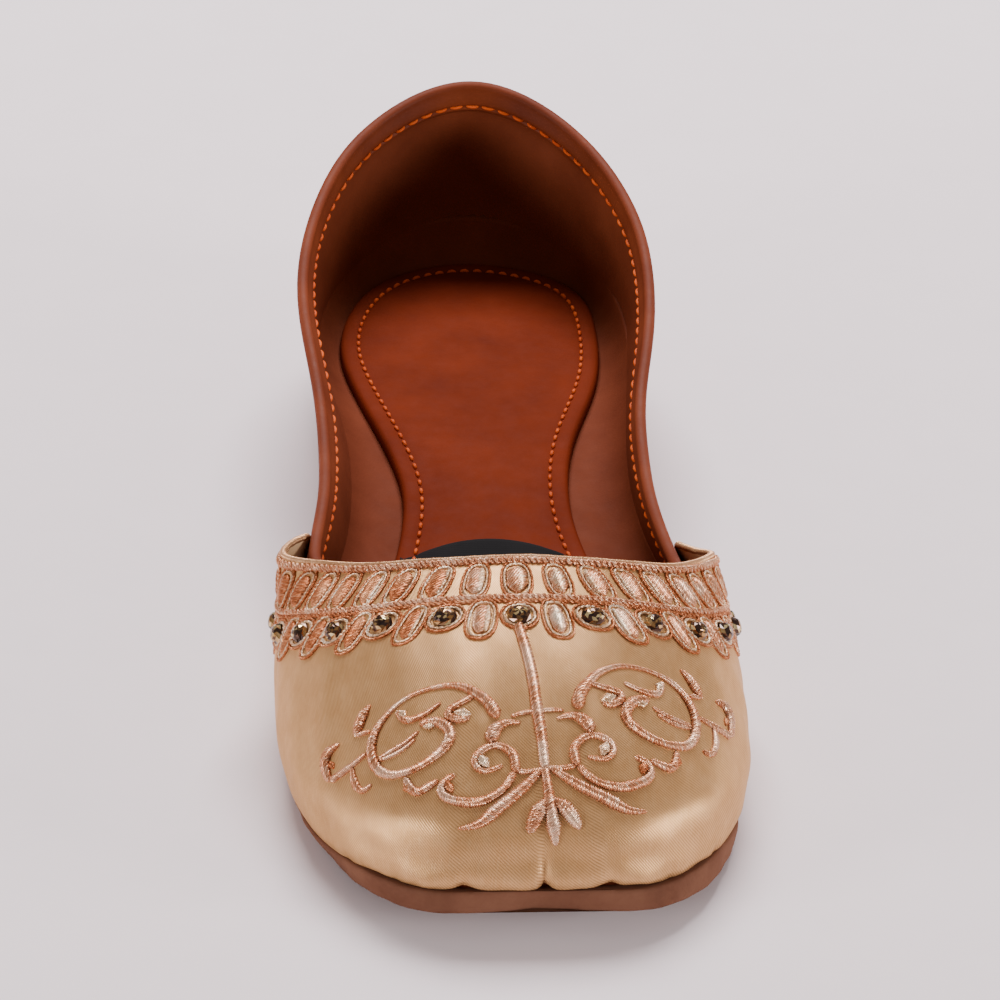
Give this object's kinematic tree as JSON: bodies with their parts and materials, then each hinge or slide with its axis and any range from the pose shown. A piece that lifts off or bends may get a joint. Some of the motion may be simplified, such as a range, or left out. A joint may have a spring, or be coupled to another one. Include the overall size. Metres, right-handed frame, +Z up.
{
  "type": "mojari shoe",
  "caption": "Flat leather slip-on shoe with a hollow upper, a satin vamp over the toes, a sewn sock pad and a low heel.",
  "frame": {"origin": "centre of the shoe's bounding box, on the floor that it stands on", "axes": "+Z up, +Y towards the heel, -Y towards the toe, +X towards the outer side of the foot"},
  "size_m": [0.0918, 0.2452, 0.0574],
  "materials": {
    "sole_leather": "matt, dusty brown",
    "lining_leather": "smooth, semi-matt brown",
    "pad_leather": "smooth, soft sheen, reddish brown",
    "upper_leather": "smooth, semi-matt brown",
    "vamp_satin": "pale gold satin with a fine twill",
    "thread": "glossy rose gold embroidery thread",
    "stitching": "waxed orange thread",
    "crystal": "smoky cut glass",
    "label_cloth": "black woven cloth"
  },
  "bodies": {
    "root": {"outsole": "sole_leather", "insole": "lining_leather", "sock_pad": "pad_leather", "upper": "upper_leather", "vamp": "vamp_satin"}
  },
  "joints": []
}
